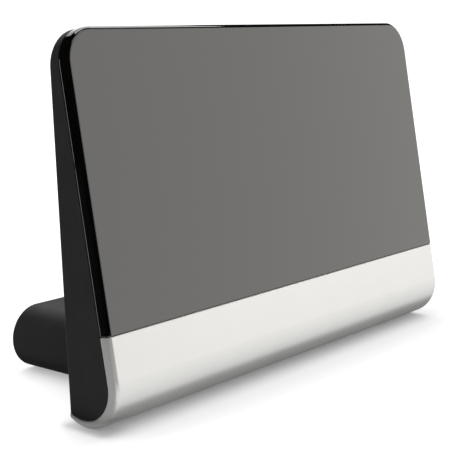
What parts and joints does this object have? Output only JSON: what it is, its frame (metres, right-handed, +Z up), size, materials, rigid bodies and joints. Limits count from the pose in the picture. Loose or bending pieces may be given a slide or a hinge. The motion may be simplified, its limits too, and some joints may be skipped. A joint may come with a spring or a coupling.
{
  "type": "indoor tv antenna",
  "caption": "Indoor TV antenna: a leaning flat panel with a gloss face and a rolled silver lower trim, a wedge-shaped rear housing, and an oval foot behind it with aerial and power sockets.",
  "frame": {"origin": "on the table, in the middle of the width and depth of the whole object", "axes": "+X to the right seen from the gloss face, +Y to the rear where the foot and the sockets are, +Z up"},
  "size_m": [0.22, 0.0898, 0.14],
  "materials": {
    "gloss_face": "high gloss, near black",
    "silver_trim": "satin silver paint on plastic",
    "black_shell": "fine matt texture",
    "tin_plate": "bright tin plate",
    "circuit_board": "green solder mask",
    "ferrite": "sintered, dull",
    "cable_jacket": "satin",
    "nickel": "nickel plate",
    "white_insulator": "smooth",
    "brass_contact": "bright",
    "black_insulator": "smooth",
    "screw_steel": "zinc plate",
    "rubber_pad": "dull"
  },
  "bodies": {
    "root": {"front_panel": "gloss_face", "lower_trim": "silver_trim", "rear_housing": "black_shell", "foot_shell": "black_shell", "end_cover": "black_shell", "antenna_plate_left": "tin_plate", "antenna_plate_right": "tin_plate", "balun_board": "circuit_board", "balun_core": "ferrite", "feed_cable": "cable_jacket", "amplifier_board": "circuit_board", "shield_can": "tin_plate", "aerial_socket": "nickel", "aerial_insulator": "white_insulator", "aerial_contact": "brass_contact", "power_socket": "black_insulator", "power_pin": "nickel", "housing_screws": "screw_steel", "foot_screws": "screw_steel", "cover_screws": "screw_steel", "front_pads": "rubber_pad", "rear_pads": "rubber_pad"}
  },
  "joints": []
}
